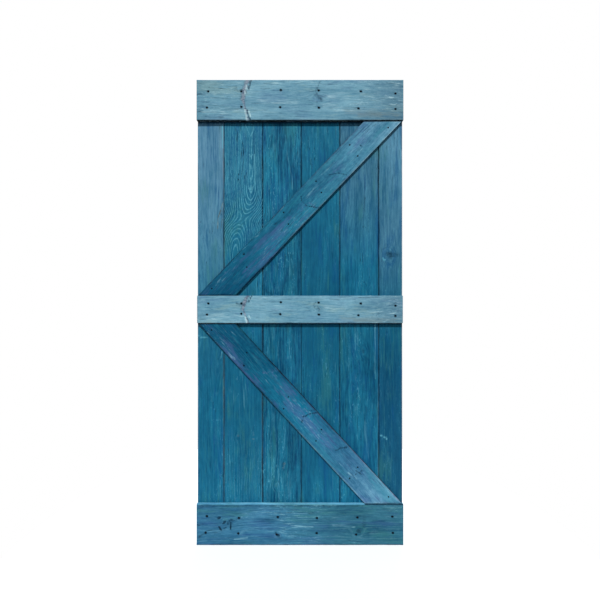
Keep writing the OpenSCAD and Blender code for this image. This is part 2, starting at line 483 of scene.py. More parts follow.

# heart: the log's pith, across from the piece's middle and behind its front
# lean and sway: how fast the pith comes nearer along the piece, and how far it wanders
# coarse: how wide the growth rings are, where it isn't 1
# saddle: where along the piece the pith lies deepest, how deep, over what length, and how far it crosses over
# figure: how clearly the growth rings show; brushed: how uneven the stain is
# stain, edges and sides: stains of the faces, of the arrises left and right of the grain, and of the side
# faces there, some of which are painted shade and one a painted highlight; stain, edges, figure and brushed
# run from the foot or the left end on, at even steps
# knots: X, Z, radius, stretch along the grain and darkness
# strokes: scar, dark, pale or aged, then width, strength, and points in X and Z
# Lengths are in mm, and places are on the door, from its middle line and its bottom edge.
looks = {
    "board_1": {
        "heart": (30, 55), "lean": 9, "sway": 7, "figure": (0.15,), "brushed": (0.9, 0.8, 0.8, 0.7),
        "stain": ("teal", "teal", "teal", "shallows", "dusk", "haze", "haze"),
        "edges": (("dusk",), ("navy", "moss", "navy", "ash")), "sides": ("dusk", "night"),
        "knots": ((-365, 1520, 6, 3.0, 0.4), (-460, 1485, 4, 1.5, 0.8), (-365, 870, 8, 2.0, 0.3)),
        "strokes": (
            ("scar", 3, 0.9, ((-358, 1575), (-366, 1545), (-380, 1505), (-382, 1450))),
            ("scar", 3, 0.6, ((-361, 1560), (-360, 1500), (-368, 1450))),
            ("dark", 5, 0.5, ((-365, 870), (-392, 838))),
            ("pale", 4, 0.7, ((-362, 885), (-368, 850))),
            ("pale", 3, 0.8, ((-472, 960), (-455, 950), (-430, 950))),
            ("pale", 3, 0.4, ((-430, 565), (-350, 570))),
            ("pale", 4, 1.0, ((-359, 1935), (-359, 1830))),
        ),
    },
    "board_2": {
        "heart": (0, 4), "lean": 0, "sway": 4, "coarse": 1.4, "saddle": (1500, 44, 75, 36),
        "figure": (0.4, 0.7, 0.2, 0.1, 0.2, 1.2, 1.9, 1.5, 1.1), "brushed": (0.8, 0.7, 0.9, 0.85),
        "stain": ("lagoon", "deepTeal", "teal", "lagoon", "shallows", "lagoon"),
        "edges": (("navy", "moss", "navy"), ("night", "moss", "navy", "night", "night")),
        "sides": ("night", "night"),
        "knots": ((-288, 483, 6, 1.3, 0.5), (-215, 487, 7, 1.4, 0.5), (-227, 1655, 5, 1.6, 0),
                  (-228, 1742, 5, 1.6, 0), (-240, 365, 10, 2.5, 0)),
        "strokes": (
            ("scar", 8, 0.5, ((-288, 495), (-288, 475))),
            ("scar", 9, 0.5, ((-215, 500), (-215, 475))),
            ("pale", 3, 0.9, ((-252, 1935), (-240, 1905), (-228, 1885), (-218, 1905), (-214, 1935))),
            ("pale", 3, 0.8, ((-278, 1895), (-276, 1870), (-268, 1850))),
            ("pale", 4, 0.8, ((-236, 1800), (-228, 1788), (-218, 1800))),
            ("pale", 3, 0.9, ((-212, 1800), (-208, 1720), (-210, 1640))),
            ("pale", 4, 0.7, ((-228, 1690), (-226, 1650))),
            ("pale", 4, 0.6, ((-232, 1612), (-224, 1590), (-232, 1570))),
            ("pale", 20, 0.3, ((-262, 790), (-258, 640))),
            ("pale", 6, 0.4, ((-282, 1330), (-262, 1300))),
        ),
    },
    "board_3": {
        "heart": (-40, 45), "lean": -8, "sway": 6, "figure": (0.35,), "brushed": (1.8, 1.4, 1.8, 2.0),
        "stain": ("deepTeal", "deepTeal", "teal", "deepTeal", "lagoon", "lagoon"),
        "edges": (("night",), ("navy", "shallows", "navy", "night")), "sides": ("night", "night"),
        "knots": ((-73, 359, 8, 1.5, 0.5), (-112, 265, 6, 1.4, 0.2)),
        "strokes": (
            ("pale", 5, 0.5, ((-66, 1885), (-60, 1800), (-40, 1700), (-36, 1640))),
            ("pale", 5, 0.4, ((-20, 1890), (-30, 1810), (-26, 1740))),
            ("pale", 6, 0.35, ((-120, 1850), (-118, 1760))),
            ("dark", 6, 0.5, ((-45, 1890), (-40, 1760), (-15, 1690))),
            ("scar", 7, 0.5, ((-70, 368), (-76, 348))),
            ("dark", 5, 0.6, ((-166, 1195), (-156, 1160), (-120, 1148))),
            ("dark", 3, 0.8, ((-170, 1010), (-172, 880))),
            ("dark", 5, 0.5, ((-130, 430), (-112, 380), (-112, 300))),
            ("pale", 7, 0.4, ((-100, 340), (-98, 210))),
            ("pale", 7, 0.4, ((-50, 330), (-46, 200))),
        ),
    },
    "board_4": {
        "heart": (50, 60), "lean": 7, "sway": 5, "figure": (0.1,), "brushed": (0.9, 0.7, 1.0),
        "stain": ("lagoon", "deepTeal", "deepTeal", "teal", "lagoon", "teal"),
        "edges": (("navy", "teal", "navy"), ("navy", "navy", "moss")), "sides": ("night", "night"),
        "knots": ((124, 817, 5, 1.4, 0.2),),
        "strokes": (("pale", 10, 0.4, ((55, 1915), (58, 1880))), ("pale", 4, 0.5, ((120, 830), (124, 800)))),
    },
    "board_5": {
        "heart": (-20, 38), "lean": -6, "sway": 8, "figure": (0.1,), "brushed": (1.1, 1.3, 0.9, 1.2),
        "stain": ("lagoon", "teal", "deepTeal", "lagoon", "mistBlue", "mistBlue"),
        "edges": (("navy", "teal", "night"), ("moss", "dusk", "night", "night")), "sides": ("night", "night"),
        "knots": ((294, 886, 10, 1.2, 0.6), (248, 711, 8, 1.5, 0.15)),
        "strokes": (
            ("dark", 2.5, 0.9, ((292, 1212), (301, 1203), (308, 1192))),
            ("pale", 6, 0.6, ((349, 1010), (348, 760))),
            ("pale", 14, 0.4, ((262, 1000), (258, 900))),
            ("pale", 14, 0.4, ((300, 560), (312, 400))),
        ),
    },
    "board_6": {
        "heart": (-10, 42), "lean": 10, "sway": 4, "figure": (0.15,), "brushed": (0.7, 0.6, 0.9, 1.05),
        "stain": ("ink", "ink", "ink", "deepTeal", "mistBlue", "dusk", "haze"),
        "edges": (("night",), ("navy", "ash", "ash")), "sides": ("night", "dusk"),
        "knots": ((415, 1328, 15, 1.1, 0.8), (404, 977, 4, 1.5, 0.6)),
        "strokes": (
            ("pale", 5, 1.0, ((384, 1316), (394, 1310))),
            ("dark", 18, 0.55, ((404, 1338), (452, 1334))),
            ("dark", 8, 0.85, ((418, 1324), (440, 1331))),
            ("pale", 5, 0.8, ((374, 497), (388, 490), (402, 481))),
            ("pale", 5, 0.4, ((420, 1640), (422, 1560))),
        ),
    },
    "top_rail": {
        "heart": (-30, 70), "lean": 14, "sway": 9, "figure": (0.4,), "brushed": (1.1, 1.0, 1.0, 1.1),
        "stain": ("fog", "duckEgg", "duckEgg", "duckEgg", "pewter"),
        # the rail's underside is near black, painted shade
        "edges": (("fog",), ("ash",)), "sides": ("ash", "blackStainAndShade"),
        "knots": ((-272, 2084, 8, 1.6, 0.7), (84, 2052, 11, 1.3, 0.5)),
        "strokes": (
            ("dark", 17, 0.75, ((-240, 2140), (-254, 2090), (-264, 2048))),
            ("scar", 10, 1.1, ((-240, 2140), (-254, 2090), (-262, 2046))),
            ("scar", 6, 1.0, ((-262, 2046), (-252, 2004), (-240, 1948))),
            ("dark", 5, 1.0, ((-224, 2134), (-234, 2092))),
            ("dark", 5, 1.0, ((-242, 1995), (-234, 1962), (-228, 1950))),
            ("pale", 4, 1.3, ((-252, 1995), (-246, 1960), (-244, 1950))),
            ("pale", 4, 1.3, ((-235, 1990), (-227, 1966))),
            ("pale", 3, 1.1, ((-246, 2110), (-252, 2070))),
            ("dark", 12, 0.6, ((-300, 2092), (-272, 2082))),
            ("dark", 5, 0.7, ((94, 2128), (72, 2084), (84, 2056), (98, 2042))),
            ("dark", 4, 0.5, ((84, 2056), (76, 2020), (92, 1996))),
            ("dark", 14, 0.6, ((72, 2066), (98, 2040))),
            ("pale", 26, 0.45, ((130, 2064), (215, 2056))),
            ("pale", 20, 0.45, ((110, 2012), (190, 2000))),
            ("pale", 16, 0.4, ((-440, 1990), (-290, 1996))),
            ("pale", 20, 0.4, ((-190, 2040), (-20, 2030))),
            ("pale", 16, 0.3, ((250, 2066), (420, 2056))),
            ("aged", 27, 0.6, ((215, 1988), (440, 1974))),
            ("aged", 17, 0.85, ((272, 1975), (370, 1973))),
        ),
    },
    "mid_rail": {
        "heart": (-30, 66), "lean": 14, "sway": 9, "figure": (0.4,), "brushed": (1.1, 1.0, 1.0, 1.1),
        "stain": ("duckEgg", "duckEgg", "duckEgg", "duckEgg", "pewter"),
        # the rail's underside is near black, painted shade
        "edges": (("fog",), ("ash",)), "sides": ("ash", "blackStainAndShade"),
        "knots": ((-268, 1106, 7, 1.5, 0.7), (80, 1084, 9, 1.4, 0.5)),
        "strokes": (
            ("dark", 14, 0.75, ((-234, 1150), (-256, 1112), (-264, 1084))),
            ("scar", 8, 1.1, ((-236, 1150), (-256, 1112), (-262, 1080))),
            ("scar", 5, 1.0, ((-262, 1080), (-250, 1050), (-238, 1015))),
            ("dark", 4, 1.0, ((-222, 1142), (-236, 1114))),
            ("dark", 4, 1.0, ((-246, 1048), (-236, 1022))),
            ("pale", 4, 1.3, ((-250, 1044), (-244, 1020))),
            ("pale", 3, 1.1, ((-236, 1056), (-228, 1038))),
            ("dark", 10, 0.6, ((-290, 1108), (-264, 1098))),
            ("dark", 5, 0.6, ((84, 1130), (62, 1100), (70, 1084), (92, 1070))),
            ("dark", 10, 0.5, ((72, 1096), (96, 1074))),
            ("pale", 20, 0.42, ((120, 1094), (200, 1086))),
            ("pale", 14, 0.4, ((-440, 1052), (-300, 1056))),
            ("pale", 14, 0.3, ((-190, 1084), (-20, 1080))),
            ("aged", 20, 0.6, ((190, 1040), (430, 1030))),
            ("aged", 12, 0.85, ((250, 1031), (375, 1029))),
        ),
    },
    "bottom_rail": {
        "heart": (40, 60), "lean": -10, "sway": 7, "figure": (0.4,), "brushed": (1.1, 1.2, 1.0, 1.0),
        "stain": ("steelBlue", "steelBlue", "slateTeal", "slateTeal"),
        # the pale cyan of the rail's top face is a painted highlight
        "edges": (("slateTeal",), ("slateTeal",)), "sides": ("topFaceHighlight", "slateTeal"),
        "knots": ((-371, 125, 8, 1.0, 1), (-316, 116, 7, 1.0, 1), (268, 64, 11, 1.2, 0.8),
                  (-100, 46, 7, 1.3, 0.9)),
        "strokes": (
            # painted shade: a near-black line along the rail's top under the lower brace's foot
            ("dark", 3, 1.15, ((297, 186), (474, 186))),
            ("dark", 7, 0.56, ((-470, 179), (290, 179))),
            ("dark", 2.5, 0.8, ((474, 3), (474, 182))),
            ("dark", 3, 0.7, ((-472, 2), (474, 2))),
            ("dark", 5, 1.3, ((-362, 70), (-370, 84))),
            ("dark", 5, 1.2, ((-352, 98), (-344, 108))),
            ("dark", 4, 1.3, ((-318, 74), (-316, 104))),
            ("dark", 4, 1.1, ((-330, 96), (-326, 112))),
            ("dark", 5, 1.0, ((-375, 120), (-366, 128))),
            ("dark", 8, 0.6, ((-468, 92), (-440, 98))),
            ("dark", 8, 0.6, ((-464, 36), (-430, 58))),
            ("dark", 4, 0.9, ((-350, 76), (-338, 82))),
            ("dark", 4, 0.8, ((-435, 64), (-405, 70))),
            ("dark", 10, 0.6, ((-110, 58), (-92, 30))),
            ("pale", 6, 0.6, ((-300, 28), (-240, 32))),
            ("pale", 6, 0.6, ((-20, 88), (60, 84))),
            ("pale", 6, 0.5, ((150, 90), (250, 84))),
            ("dark", 16, 0.5, ((272, 56), (292, 84), (296, 130))),
            ("pale", 8, 0.5, ((-92, 60), (-60, 54))),
        ),
    },
    "upper_brace": {
        "heart": (20, 50), "lean": 8, "sway": 6, "figure": (0.25,), "brushed": (0.8, 1.0, 1.1, 1.2),
        "stain": ("ink", "teal", "shallows", "dusk", "mist"),
        "edges": (("night", "navy", "plum"), ("night", "navy", "ash", "foam")), "sides": ("navy", "night"),
        "knots": ((-261, 1335, 5, 1.4, 0.7), (24, 1556, 8, 1.5, 0.2), (180, 1712, 7, 1.5, 0.2)),
        "strokes": (
            ("dark", 3, 1.0, ((4, 1602), (8, 1576), (30, 1558), (86, 1548))),
            ("dark", 3, 0.8, ((134, 1700), (175, 1708), (214, 1700))),
            ("dark", 5, 0.6, ((-120, 1470), (-60, 1510), (-40, 1540))),
            ("scar", 6, 0.5, ((40, 1572), (96, 1542))),
            ("dark", 3.5, 0.9, ((275, 1837), (283, 1833))),
            ("pale", 8, 0.4, ((22, 1588), (78, 1650))),
            ("pale", 6, 0.4, ((100, 1700), (160, 1760))),
        ),
    },
    "lower_brace": {
        "heart": (-20, 50), "lean": -8, "sway": 6, "figure": (0.25,), "brushed": (0.8, 1.0, 1.0, 1.1),
        "stain": ("ink", "deepTeal", "lagoon", "denim", "mist"),
        # the dark arrises and the near-black side faces along this brace are painted shade
        "edges": (("night", "night", "plum", "mauve"), ("night", "night", "ash", "foam")),
        "sides": ("blackStainAndShade", "blackStainAndShade"),
        "knots": ((-256, 822, 6, 1.4, 0.7), (30, 596, 8, 1.5, 0.2), (214, 450, 7, 1.5, 0.2)),
        "strokes": (
            ("scar", 12, 0.45, ((-165, 792), (-105, 800))),
            ("dark", 4, 1.1, ((78, 606), (44, 600), (14, 586))),
            ("dark", 3, 0.8, ((66, 618), (36, 612))),
            ("scar", 14, 0.35, ((20, 622), (80, 596))),
            ("dark", 5, 1.0, ((10, 570), (8, 560))),
            ("dark", 4, 1.0, ((166, 432), (190, 444), (214, 446))),
            ("dark", 3, 0.6, ((176, 452), (212, 438))),
            ("scar", 16, 0.35, ((60, 520), (120, 500))),
            ("pale", 5, 0.5, ((222, 330), (262, 300))),
            ("pale", 5, 0.5, ((300, 250), (330, 215))),
            ("dark", 4, 0.9, ((258, 338), (282, 322))),
            ("dark", 3, 0.9, ((256, 320), (284, 340))),
            ("pale", 6, 0.5, ((30, 560), (60, 530))),
            ("pale", 6, 0.4, ((-330, 880), (-300, 850))),
        ),
    },
}
reliefs = {                      # depths and lengths in metres; all of them sink into the piece
    "deepest": 0.002,            # no relief goes deeper than this
    "wave": 0.00022,
    "ripples": ((9, 0.7, 1.3), (-2, 1, 0.6)),    # two waves: their slant across and along, and their length
    "scar": 0.0005,
    "dark": 0.00025,
    "knot": 0.0003,
    "nail": 0.00025,
    "nailReach": 0.006,
    "arris": 0.0006,
    "arrisLength": 0.31,         # over what length it comes and goes
    "side": 0.00035,
    "sideLength": 0.9,
    "sideReach": 0.004,
    "endReach": 0.01,            # the sides' wear fades out this near to an end
}
edging = {                       # in metres, but for strengths and the angle
    "front": (0.002, 0.006),     # marks fade out between these depths behind the front face
    "arrisReach": {"board": 0.0034, "rail": 0.0027, "brace": 0.0048},
    "even": 0.8,                 # how strong the arrises' own stain is, and the painted shade along the lower brace
    "waves": ((0.45, 0.35), (0.35, 0.07)),    # and how it comes and goes: strength and length
    "sideStainAndPaintedLight": 0.0004,         # the side faces' own stain, painted shade and painted highlight end this far into the arris
    "nailRing": {"rail": (0.0054, 2.2), "brace": (0.0038, 1.3)},    # reach and strength of its stain
    "shadeUnderRail": (0.010, 1.15),      # reach and strength of painted shade on the boards right under a rail, where its shadow falls
    "softAngle": 35,             # edges flatter than this, in degrees, are shaded smooth
}
growth = {                       # how the tree grew, with lengths in metres
    "swayLength": 1.7,           # length of the pith's sway across the piece
    "depthLength": 1.1,          # and of its sway in depth
    "saddleRound": 0.03,         # how round the top of a saddle's hump is
    "saddleTurn": 0.06,          # how quickly the pith crosses over there
    "knotFade": (0.2, 1.5),      # a knot fades out between these, in its radii
    "knotSqueeze": 0.85,         # how far the rings give way to a knot, aside and in depth
    "knotRise": 0.9,
    "knotAside": 2.2,            # how far round a knot they do so, in its radii
    "knotAbove": 2.6,
    "apart": 40,                 # pieces are cut from places up to this far apart along the log
}


def paintColour(name):
    # a stain, or a hex colour, as linear red, green and blue
    code = stains.get(name, name)
    parts = [int(code[k:k + 2], 16) / 255 for k in (1, 3, 5)]
    return [part / 12.92 if part <= 0.04045 else ((part + 0.055) / 1.055) ** 2.4 for part in parts]


def smooth(value, low, high):
    t = np.clip((value - low) / (high - low), 0, 1)
    return t * t * (3 - 2 * t)


sines = (1, 2.3, 4.1)            # how much faster than the slowest each one runs
sinesTogether = 1.83


def wander(draw, along, longest):
    # a slow curve from -1 to 1 along a piece, as three sines of random start
    curve = 0
    for k, pace in enumerate(sines):
        start = draw.uniform(0, math.tau)
        curve = curve + np.sin(math.tau * along * pace / longest + start) / (k + 1)
    return curve / sinesTogether


def comeAndGo(draw, along, longest):
    # the same from 0 to 1
    return 0.5 + 0.5 * wander(draw, along, longest)


def onGrain(dx, dz, turn):
    # across and along the grain of a piece that is turned by this much
    return dx * math.cos(turn) - dz * math.sin(turn), dx * math.sin(turn) + dz * math.cos(turn)


def strokeMask(x, z, points, width):
    # 1 on a line through these points, fading out to its sides
    near = np.full(len(x), np.inf)
    for (x1, z1), (x2, z2) in zip(points, points[1:]):
        dx, dz = x2 - x1, z2 - z1
        t = np.clip(((x - x1) * dx + (z - z1) * dz) / (dx * dx + dz * dz), 0, 1)
        near = np.minimum(near, np.hypot(x - x1 - t * dx, z - z1 - t * dz))
    return np.exp(-(near / width) ** 2)


def inMetres(points):
    return [(x / 1000, z / 1000) for x, z in points]


def setAttribute(piece, name, kind, field, values):
    layer = piece.data.attributes.new(name, kind, "POINT")
    layer.data.foreach_set(field, np.ascontiguousarray(values, np.float32).ravel())


def spread(values, share):
    # values spaced evenly from 0 to 1, read at share; one value holds for the whole piece
    values = np.array(values, float)
    if len(values) == 1:
        values = np.repeat(values, 2, 0)
    places = np.linspace(0, 1, len(values))
    if values.ndim == 1:
        return np.interp(share, places, values)
    return np.stack([np.interp(share, places, values[:, k]) for k in range(values.shape[1])], 1)


def pressIn(piece, axis, depths, way):
    # moves each point along an axis by its own depth, as painted weights on a Displace modifier
    group = piece.vertex_groups.new(name="depth")
    for k in np.flatnonzero(depths > 0).tolist():
        group.add((k,), float(depths[k]) / reliefs["deepest"], "REPLACE")
    press = piece.modifiers.new("press", "DISPLACE")
    press.direction = axis
    press.mid_level = 0
    press.strength = way * reliefs["deepest"]
    press.vertex_group = group.name
    bpy.context.view_layer.objects.active = piece
    bpy.ops.object.modifier_apply(modifier=press.name)
    piece.vertex_groups.remove(piece.vertex_groups["depth"])


def layOut(node, made):
    # where the points of a piece lie: on the door, on its grain and from its edges
    low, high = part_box(node)
    shape = np.empty(len(made["piece"].data.vertices) * 3)
    made["piece"].data.vertices.foreach_get("co", shape)
    x, y, z = shape.reshape(-1, 3).T.copy()
    across, along = onGrain(x - made["foot"][0], z - made["foot"][1], made["turn"])
    kind = next(kind for kind in ("board", "rail", "brace") if kind in node)
    toSide = np.maximum(made["half"] - np.abs(across), 0)
    if kind == "rail":
        toEnd = np.minimum(x - low.x, high.x - x)
    else:
        toEnd = np.minimum(z - low.z, high.z - z)
    reach = edging["arrisReach"][kind]
    return SimpleNamespace(
        x=x, z=z, across=across, along=along, behind=y - low.y, kind=kind, toSide=toSide, toEnd=toEnd,
        share=(along - along.min()) / (along.max() - along.min()),
        front=1 - smooth(y - low.y, *edging["front"]),
        edge=np.maximum(np.exp(-(toSide / reach) ** 2), np.exp(-(toEnd / reach) ** 2)))


def marksOn(node, at):
    # how strong each kind of mark is at each point, on the front only, with painted shade under the rails
    # among the dark marks
    marks = {name: np.zeros(len(at.x)) for name in ("scar", "dark", "pale", "aged")}
    for name, width, strength, points in looks[node]["strokes"]:
        mask = strokeMask(at.x, at.z, inMetres(points), width / 1000) * strength * at.front
        marks[name] = np.maximum(marks[name], mask)
    for spotX, spotZ in spots.get(node, ()):
        reach, strength = edging["nailRing"][at.kind]
        ring = strength * np.exp(-((at.x - spotX) ** 2 + (at.z - spotZ) ** 2) / reach ** 2) * at.front
        marks["dark"] = np.maximum(marks["dark"], ring)
    # painted shade: the boards darken right under the top and mid rails, where their shadows fall
    if at.kind == "board":
        reach, strength = edging["shadeUnderRail"]
        for rail in ("top_rail", "mid_rail"):
            shadeUnderRail = strength * np.exp(-((at.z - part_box(rail)[0].z) / reach) ** 2) * at.front
            marks["dark"] = np.maximum(marks["dark"], shadeUnderRail)
    return marks


def grainOf(look, draw, at, turn):
    # each point's place in the log that the piece was sawn from: across and behind its pith, and along it;
    # and how dark the knots are there
    heartAcross, heartBehind = inMetres((look["heart"],))[0]
    sway, lean = look["sway"] / 1000, look["lean"] / 1000
    fromHeart = at.across - heartAcross + sway * wander(draw, at.along, growth["swayLength"])
    depth = heartBehind - at.behind + lean * (at.along - at.along.mean())
    depth = depth + sway * wander(draw, at.along, growth["depthLength"])
    if "saddle" in look:
        place, size, reach, aside = (k / 1000 for k in look["saddle"])
        off = at.along - place
        blunt = growth["saddleRound"]
        depth = depth + size * np.exp((blunt - np.hypot(off, blunt)) / reach)
        fromHeart = fromHeart - aside * np.tanh(off / growth["saddleTurn"])
    knot = np.zeros(len(at.x))
    for knotX, knotZ, radius, stretch, darkness in look["knots"]:
        offAcross, offAlong = onGrain(at.x - knotX / 1000, at.z - knotZ / 1000, turn)
        away = np.hypot(offAcross, offAlong / stretch) / (radius / 1000)
        knot = np.maximum(knot, (1 - smooth(away, *growth["knotFade"])) * darkness)
        aside = growth["knotSqueeze"] * offAcross
        fromHeart = fromHeart - aside * np.exp(-(away / growth["knotAside"]) ** 2)
        rise = radius / 1000 * growth["knotRise"]
        depth = depth + rise * np.exp(-(away / growth["knotAbove"]) ** 2)
    coarse = look.get("coarse", 1)
    start = draw.uniform(0, growth["apart"])
    return np.stack([fromHeart / coarse, depth / coarse, at.along + start], 1), knot


def stainOf(look, draw, at):
    # a stain along the piece, another on its edges and a third on its side faces; on some pieces the edges
    # and sides are painted shade, and the bottom rail's top face a painted highlight
    stain = spread([paintColour(name) for name in look["stain"]], at.share)
    leftEdge, rightEdge = (spread([paintColour(name) for name in names], at.share) for names in look["edges"])
    edgeStainAndShade = np.where(at.across[:, None] < 0, leftEdge, rightEdge)
    uneven = edging["even"]
    for strength, longest in edging["waves"]:
        uneven = uneven + strength * wander(draw, at.along, longest)
    onEdge = np.clip(at.edge * uneven, 0, 1)[:, None]
    stain = stain * (1 - onEdge) + edgeStainAndShade * onEdge
    onSide = 1 - smooth(at.toSide, 0, edging["sideStainAndPaintedLight"])[:, None]
    sideStainAndPaintedLight = np.where(at.across[:, None] < 0, *(paintColour(name) for name in look["sides"]))
    return stain * (1 - onSide) + sideStainAndPaintedLight * onSide


def wearFront(node, draw, at, marks, knot):
    # how deep each point of the front is sunk: waves, marks, knots, dents round nails and rubbed arrises
    ripple = sum(wander(draw, at.across * aside + at.along * on, longest)
                 for aside, on, longest in reliefs["ripples"])
    sink = reliefs["wave"] * (0.5 + 0.25 * ripple)     # the two waves together run from -2 to 2
    for name in ("scar", "dark"):
        sink = sink + reliefs[name] * np.minimum(marks[name], 1)
    sink = sink + reliefs["knot"] * knot
    for spotX, spotZ in spots.get(node, ()):
        away = np.hypot(at.x - spotX, at.z - spotZ)
        sink = sink + reliefs["nail"] * np.exp(-(away / reliefs["nailReach"]) ** 2)
    arris = at.edge * at.front
    sink = sink + reliefs["arris"] * arris * comeAndGo(draw, at.along, reliefs["arrisLength"])
    return sink * at.front


def wearSides(draw, at):
    # how far the side faces are worn back, which fades out towards the ends
    worn = reliefs["side"] * comeAndGo(draw, at.along, reliefs["sideLength"])
    worn = worn * (1 - smooth(at.toSide, 0, reliefs["sideReach"]))
    return worn * smooth(at.toEnd, 0, reliefs["endReach"])


def weather(node, made):
    piece, turn, look, draw = made["piece"], made["turn"], looks[node], random.Random(node)
    at = layOut(node, made)
    marks = marksOn(node, at)
    grain, knot = grainOf(look, draw, at, turn)
    stain = stainOf(look, draw, at)
    pressIn(piece, "Y", wearFront(node, draw, at, marks, knot), 1)
    worn = wearSides(draw, at)
    for side in (-1, 1):
        worth = np.where(at.across * side > 0, worn, 0)
        for axis, part in (("X", math.cos(turn)), ("Z", -math.sin(turn))):
            if abs(part) > tiny:
                pressIn(piece, axis, worth * abs(part), -side * math.copysign(1, part))

    setAttribute(piece, "grain", "FLOAT_VECTOR", "vector", grain)
    setAttribute(piece, "stain", "FLOAT_COLOR", "color", np.column_stack([stain, at.edge]))
    setAttribute(piece, "marks", "FLOAT_COLOR", "color",
                 np.stack([marks["scar"], marks["dark"], marks["pale"], knot], 1))
    setAttribute(piece, "aged", "FLOAT", "value", marks["aged"])
    for name in ("figure", "brushed"):
        setAttribute(piece, name, "FLOAT", "value", spread(look[name], at.share))
    bpy.ops.object.select_all(action="DESELECT")
    piece.select_set(True)
    bpy.context.view_layer.objects.active = piece
    bpy.ops.object.shade_smooth_by_angle(angle=math.radians(edging["softAngle"]))


for node, made in wood.items():
    weather(node, made)
print("grain and relief laid in")


# finishes

def put(tree, kind, sockets, **settings):
    # a new shader node, with each socket given a value or a link
    made = tree.nodes.new("ShaderNode" + kind)
    for name, value in settings.items():
        setattr(made, name, value)
    for key, value in sockets.items():
        if isinstance(value, bpy.types.NodeSocket):
            tree.links.new(value, made.inputs[key])
        else:
            made.inputs[key].default_value = value
    return made


def sums(tree, operation, a, b=0.0, c=0.0):
    return put(tree, "Math", {0: a, 1: b, 2: c}, operation=operation).outputs[0]


def stretched(tree, vector, name, pace):
    # one of the noises, drawn out along the grain, with its length divided by pace
    across, along, detail, rough, start = noises[name]
    sockets = {0: vector, 1: (across, across, along * pace), 2: (start, start, start)}
    scaled = put(tree, "VectorMath", sockets, operation="MULTIPLY_ADD").outputs[0]
    sockets = {"Vector": scaled, "Scale": 1, "Detail": detail, "Roughness": rough}
    return put(tree, "TexNoise", sockets).outputs["Fac"]


def offMiddle(tree, noise):
    return sums(tree, "SUBTRACT", noise, 0.5)


def between(tree, value, low, high):
    sockets = {0: value, 1: low, 2: high, 3: 0, 4: 1}
    return put(tree, "MapRange", sockets, interpolation_type="SMOOTHSTEP").outputs[0]


def linear(name):
    return (*paintColour(name), 1)


def blended(tree, under, over, amount, **settings):
    return put(tree, "Mix", {"Factor": amount, 6: under, 7: over}, data_type="RGBA", **settings).outputs[2]


def tinted(tree, under, over, *amounts):
    # over is a colour's name or a socket, and its amounts are multiplied
    amount = amounts[0]
    for more in amounts[1:]:
        amount = sums(tree, "MULTIPLY", amount, more)
    colour = over if isinstance(over, bpy.types.NodeSocket) else linear(over)
    return blended(tree, under, colour, amount)


def broken(tree, mark, noise, name):
    # how fully a mark shows, once a noise has broken up its outline
    mixed = sums(tree, "MULTIPLY_ADD", offMiddle(tree, noise), breakUp[name], mark)
    return between(tree, mixed, *shows[name])


# fibre, streak, cloud, mottle, rings: how much each changes the stain; pace: how short the streaks are
# flecks: pale and dark dashes; fleckPace: how short these are; specks: small spots where pigment flaked off
# green and blue: colour of the patches, and how much of it comes through; checks: how dark these are
# light and dark: what the tone multiplies the stain by at its strongest
# pale, deep, scar, scarPale, chip, knot and aged: colours of the marks, and of flecks, rings and specks
# rough: the shader's roughness, which streaks vary a little
finishes = {
    "boardStain": {
        "slot": "boards", "nodes": ["board_%d" % k for k in range(1, boardCount + 1)],
        "fibre": 0.95, "streak": 0.26, "cloud": 0.3, "mottle": 0.16, "rings": 0.4,
        "pace": 1, "flecks": 0.26, "fleckPace": 9, "specks": 0.3,
        "green": ("#306e68", 0.34), "blue": ("#0c4f84", 0.4), "checks": 0.8,
        "light": (2.6, 1.55, 1.42), "dark": (0.05, 0.45, 0.58),
        "pale": "#62b0c4", "deep": "#042338", "scar": "#4a5c60", "scarPale": "#6f8c90",
        "chip": "#2c8094", "knot": "#0a3048", "aged": "#476a72", "rough": 0.6,
    },
    "paleRailStain": {
        "slot": "pale_rails", "nodes": ["top_rail", "mid_rail"],
        "fibre": 1.2, "streak": 0.2, "cloud": 0.36, "mottle": 0.14, "rings": 0.2,
        "pace": 3, "flecks": 0.6, "fleckPace": 16, "specks": 0.22,
        "green": ("#84a4a0", 0.4), "blue": ("#5a80a4", 0.35), "checks": 0.6,
        "light": (1.5, 1.35, 1.28), "dark": (0.5, 0.65, 0.72),
        "pale": "#bce0e6", "deep": "#17384c", "scar": "#58667a", "scarPale": "#909faf",
        "chip": "#9cc0cc", "knot": "#234456", "aged": "#718384", "rough": 0.62,
    },
    "darkRailStain": {
        "slot": "dark_rail", "nodes": ["bottom_rail"],
        "fibre": 0.8, "streak": 0.28, "cloud": 0.4, "mottle": 0.2, "rings": 0.25,
        "pace": 1.3, "flecks": 0.5, "fleckPace": 12, "specks": 0.2,
        "green": ("#2f6a68", 0.4), "blue": ("#34568c", 0.3), "checks": 0.7,
        "light": (1.7, 1.45, 1.35), "dark": (0.3, 0.55, 0.65),
        "pale": "#86bccb", "deep": "#08243a", "scar": "#46585c", "scarPale": "#6d868a",
        "chip": "#4a90a6", "knot": "#08263a", "aged": "#476a72", "rough": 0.6,
    },
    "braceStain": {
        "slot": "braces", "nodes": ["upper_brace", "lower_brace"],
        "fibre": 0.65, "streak": 0.16, "cloud": 0.42, "mottle": 0.28, "rings": 0.15,
        "pace": 2.2, "flecks": 0.4, "fleckPace": 26, "specks": 0.15,
        "green": ("#257f90", 0.35), "blue": ("#4f5f94", 0.42), "checks": 0.5,
        "light": (1.7, 1.45, 1.35), "dark": (0.3, 0.55, 0.65),
        "pale": "#8dbfd0", "deep": "#08243c", "scar": "#38527a", "scarPale": "#5f78a0",
        "chip": "#3c84a4", "knot": "#0a2a42", "aged": "#476a72", "rough": 0.6,
    },
}
